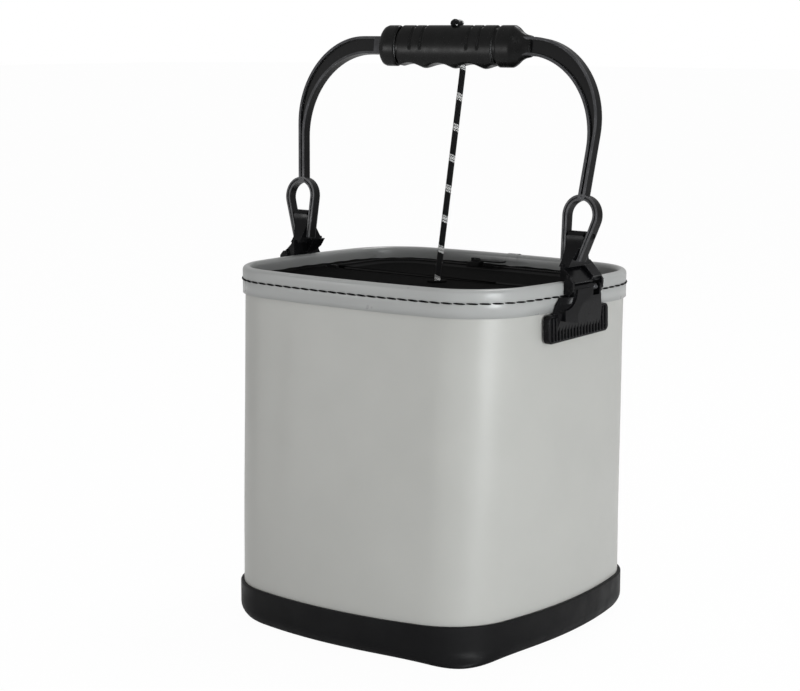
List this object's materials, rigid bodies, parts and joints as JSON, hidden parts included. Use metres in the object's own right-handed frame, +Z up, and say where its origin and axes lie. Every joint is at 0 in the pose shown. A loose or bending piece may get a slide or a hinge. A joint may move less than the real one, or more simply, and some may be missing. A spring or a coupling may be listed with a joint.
{
  "type": "collapsible fishing bucket",
  "caption": "Square fold-flat water bucket with a black boot, zipped mesh lid, sprung side hangers, a swinging grip and a coiled drawing rope",
  "frame": {"origin": "on the ground under the middle of the bucket", "axes": "+Z up, +X along the grip towards the right hanger, -Y the plain front"},
  "size_m": [0.2244, 0.1944, 0.3401],
  "materials": {
    "boot_black": "satin moulded EVA",
    "board_grey": "matte foam board",
    "liner_grey": "smooth coated sheet",
    "wall_grey": "satin coated sheet",
    "binding_grey": "glossy coated tape",
    "mesh_black": "matte net",
    "tape_black": "matte woven tape",
    "zip_black": "satin moulded",
    "zip_metal": "black enamel",
    "plastic_black": "satin moulded",
    "grip_black": "satin soft grip",
    "pin_black": "blackened pin",
    "steel": "bright wire",
    "rope_black": "woven cord with white tracer flecks"
  },
  "bodies": {
    "base": {"boot": "boot_black", "floor_board": "board_grey", "floor_liner": "liner_grey", "wall": "wall_grey", "wall_seam_strip": "wall_grey", "rope_coil": "rope_black", "rope_end_knot": "rope_black", "rope_drop": "rope_black"},
    "rim": {"rim_binding": "binding_grey", "hoop_wire": "steel", "lid_front": "mesh_black", "flap_hinge_tape": "tape_black", "zip_tape_rim": "tape_black", "zip_chain_rim": "zip_black", "zip_end_stops": "zip_metal", "rope_eyelet": "zip_metal", "rope_neck": "rope_black", "hanger_right": "plastic_black", "hanger_left": "plastic_black", "jaw_pin_right": "pin_black", "jaw_pin_left": "pin_black", "jaw_spring_right": "steel", "jaw_spring_left": "steel", "pivot_pin_right": "pin_black", "pivot_pin_left": "pin_black"},
    "bail": {"bail_frame": "plastic_black", "grip_front": "grip_black", "grip_rear": "grip_black", "grip_collar_right": "grip_black", "grip_collar_left": "grip_black", "rope_straight": "rope_black", "rope_knot": "rope_black"},
    "flap": {"lid_flap": "mesh_black", "zip_tape_flap": "tape_black", "zip_chain_flap": "zip_black"},
    "slider": {"zip_slider": "zip_metal"},
    "pull": {"zip_pull": "zip_metal"},
    "jaw_right": {"jaw_right": "plastic_black"},
    "jaw_left": {"jaw_left": "plastic_black"}
  },
  "joints": [
    {"name": "collapse", "type": "slide", "parent": "base", "child": "rim", "axis": [0, 0, -1], "range_m": [0, 0.135], "deforming": ["wall", "wall_seam_strip", "rope_drop"]},
    {"name": "bail_swing", "type": "hinge", "parent": "rim", "child": "bail", "pos_m": [0, 0, 0.225], "axis": [1, 0, 0], "range_deg": [-83, 97]},
    {"name": "lid_open", "type": "hinge", "parent": "rim", "child": "flap", "pos_m": [0, 0.012, 0.1938], "axis": [1, 0, 0], "range_deg": [0, 85]},
    {"name": "zip_run", "type": "slide", "parent": "rim", "child": "slider", "axis": [1, 0, 0], "range_m": [-0.03, 0.07]},
    {"name": "pull_swing", "type": "hinge", "parent": "slider", "child": "pull", "pos_m": [-0.0196, 0.0655, 0.19769], "axis": [0, -1, 0], "range_deg": [0, 160]},
    {"name": "jaw_open_right", "type": "hinge", "parent": "rim", "child": "jaw_right", "pos_m": [0.103, 0, 0.1975], "axis": [0, -1, 0], "range_deg": [0, 35], "stiffness_Nm_per_rad": 0.3, "springref_deg": -17.19},
    {"name": "jaw_open_left", "type": "hinge", "parent": "rim", "child": "jaw_left", "pos_m": [-0.103, 0, 0.1975], "axis": [0, 1, 0], "range_deg": [0, 35], "stiffness_Nm_per_rad": 0.3, "springref_deg": -17.19}
  ]
}
